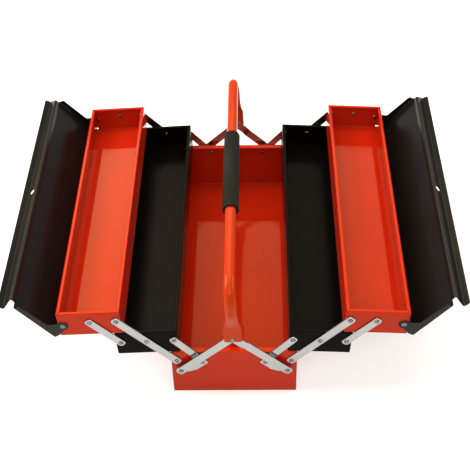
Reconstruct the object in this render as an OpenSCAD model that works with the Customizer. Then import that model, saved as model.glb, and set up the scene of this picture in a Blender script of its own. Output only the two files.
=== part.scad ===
// Cantilever tool box, stored open. Origin: centre of the base's underside.
// +X to the right, +Y along the box towards its rear end, +Z up. Millimetres.
// The right-hand front quarter is drawn; the left side and the rear end mirror it.

/* [Base and trays] */
// Length of the base and of every tray
box_l = 520; // [440:5:600]
// Width of the base
base_w = 200; // [200:0.5:201]
// Height of the base
base_h = 98; // [94:0.5:98]
// Height of a tray
tray_h = 48; // [46:0.5:48]
// Thickness of the sheet metal
sheet = 1; // [0.8:0.1:1.2]
// Width of the base's folded rim
base_rim = 10; // [6:0.5:12]
// Width of a tray's folded rim
tray_rim = 5.5; // [4:0.5:7]
// Diameter of the relief holes at the bottom folds of the trays
relief_d = 3.8; // [2:0.2:4]
// Radius of the upright corners
corner_r = 2.5; // [2:0.5:4]
// Outer radius of the rim's fold
fold_r = 1.5; // [1.2:0.1:2]
// Depth of the rim's inner lip
rim_return = 3; // [2:0.5:4]

/* [Linkage] */
// Distance of a tray's outermost pivots from its centre
pitch = 41.5; // [41:0.5:42]
// Distance between the middle tray's centre and its crank pivot
crank_pitch = 42.6; // [42:0.2:43]
// Distance between the pivots of the long links and of the outer links
outer_pitch = 40.6; // [40:0.2:42]
// Distance between neighbouring pivots of a link
link_r = 64; // [63.5:0.5:66]
// Height of the base's pivots
base_pivot_z = 79; // [78:0.5:79.5]
// Height of a tray's link pivots above its underside
tray_pivot_z = 28.6; // [28:0.2:29.4]
// Angle of the long link above the horizontal when the box is open
open_a = 46.6; // [46:0.2:47]
// Angle by which the open trays lean outwards
droop_a = 3.1; // [2.5:0.1:3.4]
// Thickness of a link
link_t = 1.8; // [1.5:0.1:1.8]
// Width of the long links
long_w = 14; // [12:0.5:15]
// Width of the outer links and of the cranks
short_w = 13; // [12:0.5:14]
// Width of the handle arms
arm_w = 14.5; // [13:0.5:15]

/* [Lids] */
// Height of a lid's pivot above the top tray's underside
lid_pivot_z = 22.5; // [22:0.5:23]
// Angle between the closed and the open lid
lid_open_a = 119; // [100:1:119]
// Slope of the closed lid's panel
lid_slope = 6.7; // [6:0.1:7]
// Diameter of the padlock holes
padlock_d = 10; // [7:0.5:10]

/* [Handle] */
// Angle by which the handle leans to the left on its rivets
lean_a = 2.1; // [0:0.1:3]
// Diameter of the handle tube
tube_d = 18; // [16:0.5:19]
// Diameter of the grip sleeve
grip_d = 27; // [24:0.5:32]
// Wall thickness of the handle tube
tube_wall = 1.2; // [1:0.1:1.3]
// Length of the grip sleeve
grip_l = 191; // [120:5:220]
// Height of the handle bar's centre when the box is open
bar_z = 249; // [242:1:260]
// Bend radius of the handle, to the tube's centre
bend_r = 34; // [26:1:40]
// Width of the handle's flattened ends
paddle_w = 28; // [24:1:30]
// Height of the handle's flattened ends
paddle_h = 34; // [28:1:36]

/* [Hidden] */
$fn = 48;

orange_paint = "#d8371c";
black_paint = "#1d1d1d";
zinc = "#c9c9c4";
grip_rubber = "#3b3d3a";

// Distances outwards from the end walls, one layer of the linkage above the other
gap = 0.3;
seat = 0.05;
head_h = 0.95;
link_lo = gap;
link_hi = link_lo + link_t;
hub_lo = link_hi + seat + head_h + 0.2;
hub_hi = hub_lo + link_t;
arm_lo = hub_hi + seat + head_h + 0.25;
arm_hi = arm_lo + link_t;
tongue_lo = arm_hi + gap;
tongue_hi = tongue_lo + link_t;
paddle_lo = tongue_hi + gap;
paddle_t = 2.8;
paddle_hi = paddle_lo + paddle_t;
skirt_lo = 0.35;
skirt_hi = skirt_lo + sheet;

rivet_r = 2.3;
head_r = 4.2;
wall_hole_r = rivet_r + 0.05;
link_hole_r = rivet_r + 0.08;
open_hole_r = rivet_r + 0.8;

// Plan of the trays: half of the slit between the closed trays, then one tray
tray_gap = 1;
tray_w = base_w / 2 - tray_gap - 1;
tray_cx = tray_gap / 2 + tray_w / 2;

function polar(r, a) = [r * cos(a), r * sin(a)];
function turn(v, a) = [v.x * cos(a) - v.y * sin(a), v.x * sin(a) + v.y * cos(a)];
function angle_of(v) = atan2(v.y, v.x);

// Pivots in the end plane, as [x, z], for the open and the closed box
base_link = [tray_cx + pitch, base_pivot_z];
closed_a = acos(-pitch / link_r);
mid_open = base_link + polar(link_r, open_a);
mid_closed = base_link + polar(link_r, closed_a);
top_open = base_link + polar(2 * link_r, open_a);

// The crank's pivot lies as far from its tray pivot with the box open as with it closed
crank_end_open = mid_open + turn([-crank_pitch, 0], -droop_a);
crank_end_closed = mid_closed + [-crank_pitch, 0];
crank_dx = crank_end_open.x - crank_end_closed.x;
crank_x = (crank_end_open.x + crank_end_closed.x) / 2
    + (pow(crank_end_open.y - base_pivot_z, 2) - pow(crank_end_closed.y - base_pivot_z, 2)) / (2 * crank_dx);
crank_pivot = [crank_x, base_pivot_z];
crank_open_a = angle_of(crank_end_open - crank_pivot);
crank_r = norm(crank_end_open - crank_pivot);

// Crank's short leg and the arm that it pushes, up to the handle's rivet
arm_foot = [84.6, 61.1];
handle_pivot = [0, 141.1];
foot_r = 6.6;
arm_r = norm(handle_pivot - arm_foot);
arm_a = angle_of(handle_pivot - arm_foot);

// Lid section, closed, measured from its pivot: [x, z] along the inner face
lip_x = 12;
lip_z = 16.1;
panel_n = 27.05;
panel_end_x = -72.6;
function panel_z(x, n) = (n - x * sin(lid_slope)) / cos(lid_slope);
lid_path = [
    [lip_x, lip_z], [lip_x, panel_z(lip_x, panel_n)],
    [panel_end_x, panel_z(panel_end_x, panel_n)], [-74.8, 33.2], [-81.4, 32.9],
    [-83.7, 35], [-80.8, 49.9], [-89.9, 54.8]
];
lid_bend_r = 1.6;
wall_foot = lid_path[5];
wall_top = lid_path[6];
padlock_up = 7.6;

// Drawing aids
module front(d0, d1) {
    translate([0, -box_l / 2 - d0, 0]) rotate([90, 0, 0]) linear_extrude(d1 - d0) children();
}
module both_ends() {
    children();
    mirror([0, 1, 0]) children();
}
module rear() { mirror([0, 1, 0]) children(); }
module left() { mirror([1, 0, 0]) children(); }
module rounded_rect(lo, hi, r) {
    translate([lo.x + r, lo.y]) square([hi.x - lo.x - 2 * r, hi.y - lo.y]);
    translate([lo.x, lo.y + r]) square([hi.x - lo.x, hi.y - lo.y - 2 * r]);
    for (x = [lo.x + r, hi.x - r], y = [lo.y + r, hi.y - r]) translate([x, y]) circle(r);
}
module strip(length, w, round_r = 0.4) {
    rounded_rect([-w / 2, -w / 2], [length + w / 2, w / 2], w * round_r);
}

// Sheet-metal section: a path along one face, rounded at its corners, thickened to its right
function unit(v) = v / norm(v);
function corner_arc(a, b, c, r, n = 4) =
    let (u = unit(a - b), w = unit(c - b), half = acos(u * w) / 2,
         centre = b + unit(u + w) * r / sin(half),
         from = angle_of(b + u * r / tan(half) - centre),
         sweep_raw = angle_of(b + w * r / tan(half) - centre) - from,
         sweep = sweep_raw > 180 ? sweep_raw - 360 : sweep_raw < -180 ? sweep_raw + 360 : sweep_raw)
    [for (i = [0 : n]) centre + polar(r, from + sweep * i / n)];
function rounded_path(p, r) =
    concat([p[0]], [for (i = [1 : len(p) - 2]) each corner_arc(p[i - 1], p[i], p[i + 1], r)],
           [p[len(p) - 1]]);
function right_of(v) = [v.y, -v.x];
function normal_at(p, i) =
    let (a = i > 0 ? right_of(unit(p[i] - p[i - 1])) : right_of(unit(p[1] - p[0])),
         b = i < len(p) - 1 ? right_of(unit(p[i + 1] - p[i])) : a, m = unit(a + b))
    m / (m * a);
function thickened(p, t) =
    concat(p, [for (i = [len(p) - 1 : -1 : 0]) p[i] + t * normal_at(p, i)]);

// One rivet standing outwards from the front wall, at [x, z]
module rivet(at, d0, d1, tail = true) {
    translate([at.x, -box_l / 2 - d0, at.y]) rotate([90, 0, 0]) {
        cylinder(h = d1 - d0, r = rivet_r);
        translate([0, 0, d1 - d0]) {
            cylinder(h = head_h * 0.4, r = head_r);
            translate([0, 0, head_h * 0.4]) cylinder(h = head_h * 0.6, r1 = head_r, r2 = head_r * 0.6);
        }
        if (tail) mirror([0, 0, 1]) cylinder(h = head_h * 1.2, r1 = head_r, r2 = head_r * 0.75);
    }
}

// Places in the end plane
module on_mid_tray() {
    translate([mid_open.x, 0, mid_open.y]) rotate([0, droop_a, 0]) children();
}
module on_top_tray() {
    translate([top_open.x, 0, top_open.y]) rotate([0, droop_a, 0]) children();
}
module on_handle() {
    translate([0, 0, handle_pivot.y]) rotate([0, -lean_a, 0]) translate([0, 0, -handle_pivot.y])
        children();
}
module on_lid() {
    on_top_tray() translate([2 * pitch, 0, lid_pivot_z - tray_pivot_z])
        rotate([0, lid_open_a, 0]) children();
}

// An open tray with a folded rim, centred on x and y, underside at z = 0
module block(w, l, h, low_r, top_r) {
    intersection() {
        linear_extrude(h) rounded_rect([-w / 2, -l / 2], [w / 2, l / 2], low_r);
        for_both_ways(w, l) linear_extrude(max(w, l), center = true) intersection() {
            rounded_rect([-$span / 2, 0], [$span / 2, h + low_r], low_r);
            rounded_rect([-$span / 2, -top_r], [$span / 2, h], top_r);
        }
    }
}
module for_both_ways(w, l) {
    intersection() {
        rotate([90, 0, 0]) let ($span = w) children();
        rotate([90, 0, 90]) let ($span = l) children();
    }
}
module pan(w, h, rim) {
    inner = [w - 2 * sheet, box_l - 2 * sheet, h - 2 * sheet];
    mouth = [w - 2 * rim, box_l - 2 * rim];
    difference() {
        block(w, box_l, h, corner_r, fold_r);
        difference() {
            translate([0, 0, sheet]) block(inner.x, inner.y, inner.z, corner_r - sheet, fold_r - sheet);
            difference() {
                translate([0, 0, h - rim_return]) linear_extrude(rim_return)
                    square([mouth.x + 2 * sheet, mouth.y + 2 * sheet], center = true);
                for (x = [-1, 1], y = [-1, 1]) translate([x * mouth.x / 2, y * mouth.y / 2, h - rim_return])
                    rotate(45) cube([4 * sheet, 4 * sheet, 3 * rim_return], center = true);
            }
        }
        translate([0, 0, h - rim_return - sheet]) linear_extrude(2 * rim_return)
            square(mouth, center = true);
    }
}
module wall_holes(points, r) {
    both_ends() for (p = points) front(-2 * sheet, sheet) translate(p) circle(r);
}

module base_tray() {
    pivots = [for (s = [-1, 1], p = [base_link, crank_pivot]) [s * p.x, p.y]];
    color(orange_paint) difference() {
        pan(base_w, base_h, base_rim);
        wall_holes(pivots, wall_hole_r);
    }
}
module tray_pan(pivots) {
    difference() {
        pan(tray_w, tray_h, tray_rim);
        wall_holes(pivots, wall_hole_r);
        wall_holes([relief], relief_d / 2);
    }
}
relief = [tray_w / 2 - sheet - relief_d * 0.45, sheet + relief_d * 0.5];
mid_pivots = [for (x = [-crank_pitch, 0, outer_pitch]) [x, tray_pivot_z]];
top_pivots = [[-pitch, tray_pivot_z], [outer_pitch - pitch, tray_pivot_z], [pitch, lid_pivot_z]];
module mid_tray() {
    color(black_paint) on_mid_tray() translate([0, 0, -tray_pivot_z]) tray_pan(mid_pivots);
}
module top_tray() {
    color(orange_paint) on_top_tray() translate([pitch, 0, -tray_pivot_z]) tray_pan(top_pivots);
}

// Lid: one folded sheet with skirts and hinge ears at both ends
ear_r = 8.5;
lid_end = box_l / 2 + (skirt_lo + skirt_hi) / 2;
module lid_skirt_outline() {
    top = panel_n + sheet / 2;
    inner_x = panel_end_x + 1.3;
    outer_x = lip_x + sheet / 2;
    circle(ear_r);
    polygon(concat(
        [[outer_x, lip_z + 0.6], [outer_x, panel_z(outer_x, top)], [inner_x, panel_z(inner_x, top)]],
        corner_arc([inner_x, 36], [inner_x, 27.6], [-22, 18.7], 4),
        corner_arc([-66, 26.6], [-14, 17.3], [-ear_r - 1.5, 4], 5),
        [[-ear_r * 0.8, 2], [0, 0], [ear_r * 0.9, 0]]
    ));
}
// The ridge is cut back at its ends, most at the bead and not at all at the lip
module ridge_trim() {
    back = lid_end - 8;
    round_r = 4;
    translate([-100, 0, 0]) rotate([90, 0, 90]) linear_extrude(100 + panel_end_x - 1) polygon(concat(
        [[-lid_end - 10, 30], [-back, 30], [-back, 36.5], [-lid_end, 48]],
        [for (a = [180 : -15 : 90]) [-lid_end + round_r, 51.6] + polar(round_r, a)],
        [[-back, 58], [-lid_end - 10, 58]]
    ));
}
module lid_sheet() {
    difference() {
        rotate([90, 0, 0]) linear_extrude(2 * lid_end, center = true)
            polygon(thickened(rounded_path(lid_path, lid_bend_r), sheet));
        both_ends() ridge_trim();
        translate([wall_foot.x, 0, wall_foot.y]) rotate([0, 90 - angle_of(wall_top - wall_foot), 0])
            translate([0, 0, padlock_up]) rotate([0, 90, 0]) cylinder(h = 10, d = padlock_d, center = true);
    }
}
module lid() {
    color(black_paint) on_lid() {
        difference() {
            union() {
                lid_sheet();
                both_ends() front(skirt_lo, skirt_hi) lid_skirt_outline();
            }
            both_ends() front(0, 2 * skirt_hi) circle(link_hole_r);
        }
    }
}

// Links: flat strips with rounded ends
module long_link() {
    color(zinc) front(link_lo, link_hi) translate(base_link) rotate(open_a) difference() {
        strip(2 * link_r, long_w);
        for (i = [0 : 2]) translate([i * link_r, 0]) circle(link_hole_r);
    }
}
module outer_link() {
    color(zinc) on_mid_tray() front(link_lo, link_hi)
        translate([outer_pitch, 0]) rotate(open_a + droop_a) difference() {
            strip(link_r, short_w);
            for (x = [0, link_r]) translate([x, 0]) circle(link_hole_r);
        }
}

// Side view of a strip that steps from one layer to the next: [distance along it, layer bottom]
module stepped_slab(at, a, near, far, lo_near, lo_far) {
    span = 200;
    edge = [[-span, lo_near], [near, lo_near], [far, lo_far], [span, lo_far]];
    face = [for (p = edge) [p.x, -p.y]];
    back = [for (i = [len(edge) - 1 : -1 : 0]) [edge[i].x, -edge[i].y - link_t]];
    translate([at.x, -box_l / 2, at.y]) rotate([0, -a, 0])
        linear_extrude(span, center = true) polygon(concat(face, back));
}
crank_step = [16, 25];
module crank_outline() {
    foot = arm_foot - crank_pivot;
    heel = turn([-short_w / 2, short_w / 2], crank_open_a);
    bulge = [8.4, -17.4];
    rotate(crank_open_a) strip(crank_r, short_w, 0.45);
    translate(foot) circle(foot_r);
    polygon(concat(
        [turn([12, short_w / 2], crank_open_a)], corner_arc(turn([9, short_w / 2], crank_open_a), heel, bulge, 1.2),
        corner_arc(heel, bulge, [21, -22.4], 3), [[21, -22.4], foot - [0, foot_r], foot + polar(foot_r, 56),
        turn([12, -short_w / 2], crank_open_a)]
    ));
}
module crank() {
    color(zinc) intersection() {
        front(link_lo - 1, hub_hi + 1) translate(crank_pivot) difference() {
            crank_outline();
            circle(link_hole_r);
            translate(arm_foot - crank_pivot) circle(wall_hole_r);
            translate(polar(crank_r, crank_open_a)) circle(open_hole_r);
        }
        stepped_slab(crank_pivot, crank_open_a, crank_step[0], crank_step[1], hub_lo, link_lo);
    }
}

// Handle arm: its end behind the handle is open on one side, where the handle's rivet drifts out
notch_r = 4;
notch_a = 62;
arm_step = [arm_r - 30, arm_r - 22];
module arm_outline() {
    difference() {
        strip(arm_r, arm_w);
        circle(link_hole_r);
        translate([arm_r, 0]) {
            circle(notch_r);
            rotate(notch_a) translate([0, -notch_r + 0.05]) square([2 * arm_w, 2 * notch_r - 0.1]);
        }
    }
}
module handle_arm(lo_end) {
    color(zinc) intersection() {
        front(arm_lo - 1, tongue_hi + 1) translate(arm_foot) rotate(arm_a) arm_outline();
        stepped_slab(arm_foot, arm_a, arm_step[0], arm_step[1], arm_lo, lo_end);
    }
}

// Handle: one bent tube, pressed flat at both ends
handle_d = (paddle_lo + paddle_hi) / 2;
handle_y = box_l / 2 + handle_d;
paddle_z = handle_pivot.y - 4.4;
function blend(a, b, t) = a + (b - a) * t;
function signed_pow(v, e) = sign(v) * pow(abs(v), e);
// Section of the flattening tube at step t, from 0 (round) to 1 (flat)
function press_ring(t, n) =
    let (w = blend(tube_d + 0.2, paddle_w - 0.4, t * t), e = blend(1, 0.35, t * t),
         d = blend(tube_d + 0.2, paddle_t - 0.2, (3 - 2 * t) * t * t),
         z = blend(flare_top, flare_low, t))
    [for (i = [0 : n - 1]) [w / 2 * signed_pow(cos(360 * i / n), e), d / 2 * signed_pow(sin(360 * i / n), e), z]];
flare_low = paddle_z + paddle_h - 1;
flare_top = flare_low + 31;
module flare() {
    n = 28;
    steps = 6;
    rings = [for (k = [0 : steps]) each press_ring(1 - k / steps, n)];
    sides = [for (k = [0 : steps - 1], i = [0 : n - 1]) each
        let (a = k * n + i, b = k * n + (i + 1) % n) [[a, b + n, b], [a, a + n, b + n]]];
    polyhedron(rings, concat(sides, [[for (i = [0 : n - 1]) i], [for (i = [n - 1 : -1 : 0]) steps * n + i]]));
}
module tube_leg() {
    translate([0, 0, flare_top - 0.6]) linear_extrude(bar_z - bend_r - flare_top + 0.6) tube_ring();
    translate([0, bend_r, bar_z - bend_r]) rotate([90, 0, -90])
        rotate_extrude(angle = 90) translate([bend_r, 0]) tube_ring();
}
module tube_ring() {
    difference() {
        circle(d = tube_d);
        circle(tube_d / 2 - tube_wall);
    }
}
module handle_tube() {
    color(orange_paint) on_handle() {
        rotate([90, 0, 0]) translate([0, bar_z, 0])
            linear_extrude(2 * (handle_y - bend_r), center = true) tube_ring();
        both_ends() {
            translate([0, -handle_y, 0]) {
                tube_leg();
                flare();
            }
            front(paddle_lo, paddle_hi) difference() {
                rounded_rect([-paddle_w / 2, paddle_z], [paddle_w / 2, paddle_z + paddle_h], 2);
                translate(handle_pivot) circle(link_hole_r);
            }
        }
    }
}
module handle_grip() {
    bore_r = tube_d / 2 + 0.05;
    color(grip_rubber) on_handle() translate([0, 0, bar_z]) rotate([90, 0, 0]) rotate_extrude()
        rounded_rect([bore_r, -grip_l / 2], [grip_d / 2, grip_l / 2], 1.8);
}

// Rivets and spacers
module base_link_rivets() {
    color(zinc) both_ends() {
        rivet(base_link, -sheet, link_hi + seat);
        left() rivet(base_link, -sheet, link_hi + seat);
    }
}
module base_crank_rivets() {
    color(zinc) both_ends() {
        rivet(crank_pivot, -sheet, hub_hi + seat);
        left() rivet(crank_pivot, -sheet, hub_hi + seat);
    }
}
module crank_spacers() {
    color(zinc) both_ends() for (s = [-1, 1]) front(0, hub_lo - seat)
        translate([s * crank_pivot.x, crank_pivot.y]) difference() {
            circle(head_r + 0.8);
            circle(wall_hole_r);
        }
}
module mid_tray_rivets() {
    color(zinc) both_ends() on_mid_tray() for (x = [-crank_pitch, 0, outer_pitch])
        rivet([x, 0], -sheet, link_hi + seat);
}
module top_tray_rivets() {
    color(zinc) both_ends() on_top_tray() for (x = [0, outer_pitch])
        rivet([x, 0], -sheet, link_hi + seat);
}
module lid_hinge_rivets() {
    color(zinc) both_ends() on_top_tray()
        rivet([2 * pitch, lid_pivot_z - tray_pivot_z], -sheet, skirt_hi + seat);
}
module crank_arm_rivets() {
    color(zinc) both_ends() {
        rivet(arm_foot, hub_lo, arm_hi + seat, tail = false);
        front(hub_hi, arm_lo - seat) translate(arm_foot) difference() {
            circle(head_r);
            circle(rivet_r);
        }
    }
}
module handle_rivets() {
    color(zinc) both_ends() rivet(handle_pivot, arm_lo - seat, paddle_hi);
}

base_tray();
base_link_rivets();
base_crank_rivets();
crank_spacers();
mid_tray();  // mid_tray_right
left() mid_tray();  // mid_tray_left
top_tray();  // top_tray_right
left() top_tray();  // top_tray_left
lid();  // lid_right
left() lid();  // lid_left
long_link();  // long_link_front_right
rear() long_link();  // long_link_rear_right
left() long_link();  // long_link_front_left
rear() left() long_link();  // long_link_rear_left
outer_link();  // outer_link_front_right
rear() outer_link();  // outer_link_rear_right
left() outer_link();  // outer_link_front_left
rear() left() outer_link();  // outer_link_rear_left
crank();  // crank_front_right
rear() crank();  // crank_rear_right
left() crank();  // crank_front_left
rear() left() crank();  // crank_rear_left
handle_arm(tongue_lo);  // handle_arm_front_right
rear() handle_arm(tongue_lo);  // handle_arm_rear_right
left() handle_arm(arm_lo);  // handle_arm_front_left
rear() left() handle_arm(arm_lo);  // handle_arm_rear_left
handle_tube();
handle_grip();
handle_rivets();
mid_tray_rivets();  // mid_tray_rivets_right
left() mid_tray_rivets();  // mid_tray_rivets_left
top_tray_rivets();  // top_tray_rivets_right
left() top_tray_rivets();  // top_tray_rivets_left
lid_hinge_rivets();  // lid_hinge_rivets_right
left() lid_hinge_rivets();  // lid_hinge_rivets_left
crank_arm_rivets();  // crank_arm_rivets_right
left() crank_arm_rivets();  // crank_arm_rivets_left
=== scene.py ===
"""Cantilever tool box, stored open: detailed pieces, finishes and a plain studio."""
import math
from collections import namedtuple

import bmesh
import bpy
from bpy.props import FloatProperty, FloatVectorProperty, IntProperty, PointerProperty
from bpy.types import Operator, Panel, PropertyGroup
from mathutils import Matrix, Vector


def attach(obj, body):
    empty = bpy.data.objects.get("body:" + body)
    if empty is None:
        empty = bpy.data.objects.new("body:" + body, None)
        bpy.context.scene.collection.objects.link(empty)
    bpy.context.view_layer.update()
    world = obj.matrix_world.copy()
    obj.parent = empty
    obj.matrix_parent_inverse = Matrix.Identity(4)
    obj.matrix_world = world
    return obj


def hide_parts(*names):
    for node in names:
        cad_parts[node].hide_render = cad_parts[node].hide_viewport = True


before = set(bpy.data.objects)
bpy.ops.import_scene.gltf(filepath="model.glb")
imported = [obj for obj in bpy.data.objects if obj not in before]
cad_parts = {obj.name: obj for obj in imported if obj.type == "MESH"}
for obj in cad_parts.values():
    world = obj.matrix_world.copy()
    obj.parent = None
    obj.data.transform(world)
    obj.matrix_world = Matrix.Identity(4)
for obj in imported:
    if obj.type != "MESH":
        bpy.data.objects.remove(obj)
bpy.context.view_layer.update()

bl_info = {
    "name": "Cantilever Tool Box",
    "version": (1, 0, 0),
    "blender": (4, 5, 0),
    "location": "View3D > Sidebar > Tool Box",
    "description": "Sheet-metal trays, lids, linkage and handle of a cantilever tool box",
    "category": "Object",
}

# ---- The box's fixed layout in millimetres: [x, z] in the end plane, d out from the end walls
MM = 0.001
BOX_LENGTH = 520.0
HALF_LENGTH = BOX_LENGTH / 2
BASE_WIDTH, BASE_HEIGHT = 200.0, 98.0
TRAY_WIDTH, TRAY_HEIGHT = 98.0, 48.0
TRAY_GAP = 1.0
PITCH, CRANK_PITCH, OUTER_PITCH, LINK_REACH = 41.5, 42.6, 40.6, 64.0
OPEN_ANGLE, DROOP = 46.6, 3.1
BASE_PIVOT_Z, TRAY_PIVOT_Z, LID_PIVOT_Z = 79.0, 28.6, 22.5
LID_OPEN_ANGLE, LID_SLOPE = 119.0, 6.7
LEAN_ANGLE = 2.1
ARM_FOOT = Vector((84.6, 61.1))
HANDLE_PIVOT = Vector((0.0, 141.1))
PADDLE_END = HANDLE_PIVOT.y - 4.4

# Layers of the linkage, one above the other
LINK_LO, LINK_HI = 0.3, 2.1
HUB_LO, HUB_HI = 3.3, 5.1
ARM_LO, ARM_HI = 6.35, 8.15
TONGUE_LO = 8.45
PADDLE_LO, PADDLE_HI = 10.55, 13.35
SKIRT_LO, SKIRT_HI = 0.35, 1.35
SEAT = 0.05
HANDLE_Y = HALF_LENGTH + (PADDLE_LO + PADDLE_HI) / 2

BACKS = {"front": -1, "rear": 1}
SIDES = {"right": 1, "left": -1}


def polar(radius, degrees):
    a = math.radians(degrees)
    return Vector((radius * math.cos(a), radius * math.sin(a)))


def turned(v, degrees):
    """v, turned anticlockwise in the end plane."""
    c, s = math.cos(math.radians(degrees)), math.sin(math.radians(degrees))
    return Vector((v[0] * c - v[1] * s, v[0] * s + v[1] * c))


def angle_of(v):
    return math.degrees(math.atan2(v[1], v[0]))


BASE_LINK = Vector(((TRAY_GAP + TRAY_WIDTH) / 2 + PITCH, BASE_PIVOT_Z))
MID_PIVOT = BASE_LINK + polar(LINK_REACH, OPEN_ANGLE)
TOP_PIVOT = BASE_LINK + polar(2 * LINK_REACH, OPEN_ANGLE)


def crank_pivots():
    """The crank turns about the point as far from its tray pivot with the box open as closed."""
    closed_angle = math.degrees(math.acos(-PITCH / LINK_REACH))
    opened = MID_PIVOT + turned((-CRANK_PITCH, 0), -DROOP)
    closed = BASE_LINK + polar(LINK_REACH, closed_angle) - Vector((CRANK_PITCH, 0))
    rise, fall = opened.y - BASE_LINK.y, closed.y - BASE_LINK.y
    x = (opened.x + closed.x) / 2 + (rise ** 2 - fall ** 2) / (2 * (opened.x - closed.x))
    return Vector((x, BASE_LINK.y)), opened


CRANK_PIVOT, CRANK_END = crank_pivots()
CRANK_ANGLE = angle_of(CRANK_END - CRANK_PIVOT)


def shift(x, y, z):
    return Matrix.Translation((x, y, z))


def spin(degrees, axis):
    return Matrix.Rotation(math.radians(degrees), 4, axis)


def in_end_plane(at, clockwise=0.0):
    """Places a section at [x, z] and turns it clockwise, as the open trays lean."""
    return shift(at[0], 0, at[1]) @ spin(clockwise, "Y")


ON_MID_TRAY = in_end_plane(MID_PIVOT, DROOP)
ON_TOP_TRAY = in_end_plane(TOP_PIVOT, DROOP)
ON_LID = ON_TOP_TRAY @ in_end_plane((2 * PITCH, LID_PIVOT_Z - TRAY_PIVOT_Z), LID_OPEN_ANGLE)
ON_HANDLE = in_end_plane(HANDLE_PIVOT, -LEAN_ANGLE) @ in_end_plane(-HANDLE_PIVOT)


def placed(matrix, x, z):
    """Where a point of a section lies in the end plane."""
    p = matrix @ Vector((x, 0, z))
    return Vector((p.x, p.z))


# ---- What a user would change
def length(label, what, default, low=0.0, high=1.0):
    return FloatProperty(name=label, description=what, default=default, min=low, max=high,
                         subtype="DISTANCE", unit="LENGTH", precision=4)


def colour(label, what, default):
    return FloatVectorProperty(name=label, description=what, default=default, min=0, max=1,
                               subtype="COLOR", size=3)


def power(label, what, default):
    return FloatProperty(name=label, description=what, default=default, min=0, unit="POWER")


class TOOLBOX_PG_sheet_metal(PropertyGroup):
    sheet: length("Sheet", "Thickness of the trays' sheet metal", 0.001, 0.0006, 0.0015)
    base_rim: length("Base Rim", "Width of the base's folded rim", 0.010, 0.005, 0.014)
    tray_rim: length("Tray Rim", "Width of the trays' folded rim", 0.0055, 0.004, 0.009)
    lip: length("Rim Lip", "Depth of the lip under the rims", 0.003, 0.002, 0.005)
    corner: length("Corner Radius", "Radius of the upright and bottom corners",
                   0.0019, 0.0015, 0.005)
    fold: length("Fold Radius", "Outer radius of the rims' folds", 0.0015, 0.0011, 0.0025)
    mitre: length("Mitre Gap", "Width of the slit where two rims meet", 0.0011, 0.0, 0.002)
    relief: length("Relief Hole", "Diameter of the holes at the top trays' bottom folds",
                   0.0038, 0.001, 0.005)
    lid_bend: length("Lid Bend", "Inner radius of the lids' folds", 0.0016, 0.001, 0.003)
    padlock: length("Padlock Hole", "Diameter of the holes in the lids' ridges",
                    0.010, 0.005, 0.012)


class TOOLBOX_PG_linkage(PropertyGroup):
    long_width: length("Long Link", "Width of the long links", 0.014, 0.010, 0.018)
    short_width: length("Short Link", "Width of the outer links and cranks", 0.013, 0.010, 0.018)
    arm_width: length("Handle Arm", "Width of the handle arms", 0.0145, 0.010, 0.018)
    edge: length("Edge Break", "Chamfer of the punched edges", 0.00028, 0.0001, 0.0006)
    shank: length("Shank Radius", "Radius of the rivets' shanks", 0.0023, 0.001, 0.003)
    head: length("Head Radius", "Radius of the rivets' heads", 0.0042, 0.002, 0.006)
    head_height: length("Head Height", "Height of the rivets' heads", 0.00095, 0.0003, 0.002)
    facets: IntProperty(name="Facets", description="Sides round a rivet head", default=28,
                        min=12, max=64)


class TOOLBOX_PG_handle(PropertyGroup):
    tube: length("Tube", "Diameter of the handle tube", 0.018, 0.012, 0.025)
    bend: length("Bend Radius", "Radius of the handle's bends, to the tube's centre",
                 0.034, 0.025, 0.05)
    leg_width: length("Leg Width", "Width of the tube below its bends, which bending makes oval",
                      0.0205, 0.018, 0.024)
    bar: length("Bar Height", "Height of the bar's centre", 0.24899, 0.2, 0.3)
    flat_width: length("Flat Width", "Width of the pressed ends", 0.028, 0.02, 0.035)
    flat_thickness: length("Flat Thickness", "Thickness of the pressed ends", 0.0028, 0.002, 0.004)
    flat_height: length("Flat Height", "Height of the pressed ends", 0.034, 0.02, 0.05)
    flare: length("Flare", "Length over which the tube flattens", 0.031, 0.01, 0.05)
    grip: length("Grip Diameter", "Diameter of the grip sleeve", 0.027, 0.02, 0.04)
    grip_length: length("Grip Length", "Length of the grip sleeve", 0.191, 0.1, 0.25)


class TOOLBOX_PG_finish(PropertyGroup):
    orange: colour("Orange Enamel", "Colour of the base and the top trays", (0.40, 0.0135, 0.0028))
    # The handle enamel is a yellower copy of the orange enamel: its extra yellow is a painted
    # highlight along the tube
    handle: colour("Handle Enamel", "Colour of the handle tube", (0.40, 0.031, 0.0055))
    black: colour("Black Enamel", "Colour of the middle trays", (0.0031, 0.0024, 0.0022))
    # The lid enamel is a lighter copy of the middle trays' black paint: the lift is a painted
    # sheen on the lids
    lid: colour("Lid Enamel", "Colour of the lids", (0.0066, 0.0063, 0.0058))
    zinc: colour("Zinc Plate", "Colour of the links, cranks and arms", (0.378, 0.392, 0.402))
    foam: colour("Foam", "Colour of the grip sleeve", (0.0062, 0.0058, 0.0048))
    gloss: FloatProperty(name="Enamel Roughness", description="Roughness of the paint",
                         default=0.045, min=0.0, max=1.0, subtype="FACTOR")


class TOOLBOX_PG_studio(PropertyGroup):
    floor: colour("Floor", "Colour of the floor", (0.57, 0.57, 0.57))
    surround: FloatProperty(name="Surround", description="Brightness of the studio's walls",
                            default=0.36, min=0)
    overhead: power("Overhead Light", "Power of the large soft light above", 29.0)
    side: power("Side Light", "Power of the soft light at the left", 60.0)
    rear: power("Rear Light", "Power of the two soft lights behind, seen in the floors", 30.0)
    front: power("Front Light", "Power of the soft light high in front", 34.0)
    strip: power("Strip Lights", "Power of each narrow light, which draws lines on edges", 10.0)
    lens: FloatProperty(name="Lens", description="Focal length of the camera", default=80.105,
                        min=20, max=200, unit="CAMERA")


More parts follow.
